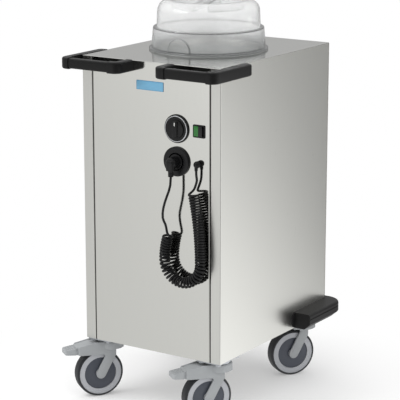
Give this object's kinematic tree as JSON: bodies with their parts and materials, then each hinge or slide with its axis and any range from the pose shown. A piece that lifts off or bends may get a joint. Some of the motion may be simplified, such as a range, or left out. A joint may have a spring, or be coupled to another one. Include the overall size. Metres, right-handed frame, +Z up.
{
  "type": "heated plate dispenser cart",
  "caption": "Upright steel cart on swivel castors with a spring-loaded plate tube under a clear lid, push handles, rear bumpers, a heat control and a curly mains cord.",
  "frame": {"origin": "on the floor, under the middle of the cart measured over its handles and bumpers", "axes": "+Z up, the front panel with the controls and handles faces -Y, +X to the cart's own right as seen from the front"},
  "size_m": [0.512, 0.61, 1.026],
  "materials": {
    "casing_steel": "fine satin",
    "deck_steel": "satin",
    "tube_steel": "satin",
    "zinc_steel": "bright zinc",
    "spring_steel": "satin",
    "bright_ring": "bright",
    "black_handle_plastic": "fine grain",
    "black_bumper_plastic": "fine grain",
    "black_control_plastic": "satin",
    "black_cord_rubber": "satin",
    "rocker_green": "clear green, lit",
    "badge_blue": "satin",
    "castor_grey_plastic": "fine grain",
    "wheel_grey_plastic": "satin",
    "wheel_disc_plastic": "satin",
    "tyre_rubber": "matt",
    "clear_lid_plastic": "clear",
    "insulation_board": "moulded"
  },
  "bodies": {
    "cart": {"left_side_panel": "casing_steel", "right_side_panel": "casing_steel", "rear_panel": "casing_steel", "panel_screws": "zinc_steel", "deck": "deck_steel", "front_panel": "casing_steel", "base_tray": "casing_steel", "dispensing_tube": "tube_steel", "lift_top_ring": "zinc_steel", "guide_rods": "zinc_steel", "lift_springs": "spring_steel", "heating_element": "zinc_steel", "knob_scale": "black_control_plastic", "thermostat": "insulation_board", "switch_housing": "black_control_plastic", "plug_holder": "black_control_plastic", "mains_plug": "black_cord_rubber", "cord_gland": "black_control_plastic", "electrical_box": "zinc_steel", "badge_plate": "badge_blue", "cord_coil": "black_cord_rubber", "cord_lead_top": "black_cord_rubber", "cord_lead_bottom": "black_cord_rubber", "right_handle_grip": "black_handle_plastic", "right_handle_ends": "black_handle_plastic", "left_handle_grip": "black_handle_plastic", "left_handle_ends": "black_handle_plastic", "right_rear_bumper": "black_bumper_plastic", "left_rear_bumper": "black_bumper_plastic", "bumper_brackets": "zinc_steel", "castor_plates": "zinc_steel", "castor_bolts": "zinc_steel"},
    "lift": {"lift_carriage": "zinc_steel", "plate_platform": "tube_steel"},
    "lid": {"lid": "clear_lid_plastic"},
    "knob": {"control_knob": "black_control_plastic", "knob_trim_ring": "bright_ring"},
    "rocker": {"switch_rocker": "rocker_green"},
    "castor_front_left_swivel": {"castor_front_left_fork": "castor_grey_plastic", "castor_front_left_axle": "zinc_steel"},
    "castor_front_left_wheel": {"castor_front_left_wheel": "wheel_grey_plastic", "castor_front_left_tyre": "tyre_rubber", "castor_front_left_discs": "wheel_disc_plastic"},
    "castor_front_left_brake": {"castor_front_left_pedal": "castor_grey_plastic"},
    "castor_front_right_swivel": {"castor_front_right_fork": "castor_grey_plastic", "castor_front_right_axle": "zinc_steel"},
    "castor_front_right_wheel": {"castor_front_right_wheel": "wheel_grey_plastic", "castor_front_right_tyre": "tyre_rubber", "castor_front_right_discs": "wheel_disc_plastic"},
    "castor_front_right_brake": {"castor_front_right_pedal": "castor_grey_plastic"},
    "castor_rear_left_swivel": {"castor_rear_left_fork": "castor_grey_plastic", "castor_rear_left_axle": "zinc_steel"},
    "castor_rear_left_wheel": {"castor_rear_left_wheel": "wheel_grey_plastic", "castor_rear_left_tyre": "tyre_rubber", "castor_rear_left_discs": "wheel_disc_plastic"},
    "castor_rear_right_swivel": {"castor_rear_right_fork": "castor_grey_plastic", "castor_rear_right_axle": "zinc_steel"},
    "castor_rear_right_wheel": {"castor_rear_right_wheel": "wheel_grey_plastic", "castor_rear_right_tyre": "tyre_rubber", "castor_rear_right_discs": "wheel_disc_plastic"}
  },
  "joints": [
    {"name": "platform_travel", "type": "slide", "parent": "cart", "child": "lift", "axis": [0, 0, 1], "range_m": [-0.43, 0], "stiffness_N_per_m": 650, "springref_m": 0.06, "deforming": ["lift_springs"]},
    {"name": "lid_lift_off", "type": "slide", "parent": "cart", "child": "lid", "axis": [0, 0, 1], "range_m": [0, 0.25]},
    {"name": "knob_turn", "type": "hinge", "parent": "cart", "child": "knob", "pos_m": [0.0795, -0.24, 0.743], "axis": [0, 1, 0], "range_deg": [0, 270]},
    {"name": "rocker_tilt", "type": "hinge", "parent": "cart", "child": "rocker", "pos_m": [0.144, -0.236, 0.743], "axis": [0, 0, 1], "range_deg": [0, 14]},
    {"name": "front_left_swivel", "type": "hinge", "parent": "cart", "child": "castor_front_left_swivel", "pos_m": [-0.168, -0.1865, 0.139], "axis": [0, 0, 1], "continuous": true},
    {"name": "front_left_roll", "type": "hinge", "parent": "castor_front_left_swivel", "child": "castor_front_left_wheel", "pos_m": [-0.18779, -0.21415, 0.0625], "axis": [0.8131, -0.5821, 0], "continuous": true},
    {"name": "front_left_brake", "type": "hinge", "parent": "castor_front_left_swivel", "child": "castor_front_left_brake", "pos_m": [-0.19711, -0.22715, 0.137], "axis": [0.8131, -0.5821, 0], "range_deg": [0, 7]},
    {"name": "front_right_swivel", "type": "hinge", "parent": "cart", "child": "castor_front_right_swivel", "pos_m": [0.168, -0.1865, 0.139], "axis": [0, 0, 1], "continuous": true},
    {"name": "front_right_roll", "type": "hinge", "parent": "castor_front_right_swivel", "child": "castor_front_right_wheel", "pos_m": [0.14821, -0.21415, 0.0625], "axis": [0.8131, -0.5821, 0], "continuous": true},
    {"name": "front_right_brake", "type": "hinge", "parent": "castor_front_right_swivel", "child": "castor_front_right_brake", "pos_m": [0.13889, -0.22715, 0.137], "axis": [0.8131, -0.5821, 0], "range_deg": [0, 7]},
    {"name": "rear_left_swivel", "type": "hinge", "parent": "cart", "child": "castor_rear_left_swivel", "pos_m": [-0.168, 0.2315, 0.139], "axis": [0, 0, 1], "continuous": true},
    {"name": "rear_left_roll", "type": "hinge", "parent": "castor_rear_left_swivel", "child": "castor_rear_left_wheel", "pos_m": [-0.18779, 0.20386, 0.0625], "axis": [0.8131, -0.5821, 0], "continuous": true},
    {"name": "rear_right_swivel", "type": "hinge", "parent": "cart", "child": "castor_rear_right_swivel", "pos_m": [0.168, 0.2315, 0.139], "axis": [0, 0, 1], "continuous": true},
    {"name": "rear_right_roll", "type": "hinge", "parent": "castor_rear_right_swivel", "child": "castor_rear_right_wheel", "pos_m": [0.14821, 0.20386, 0.0625], "axis": [0.8131, -0.5821, 0], "continuous": true}
  ]
}
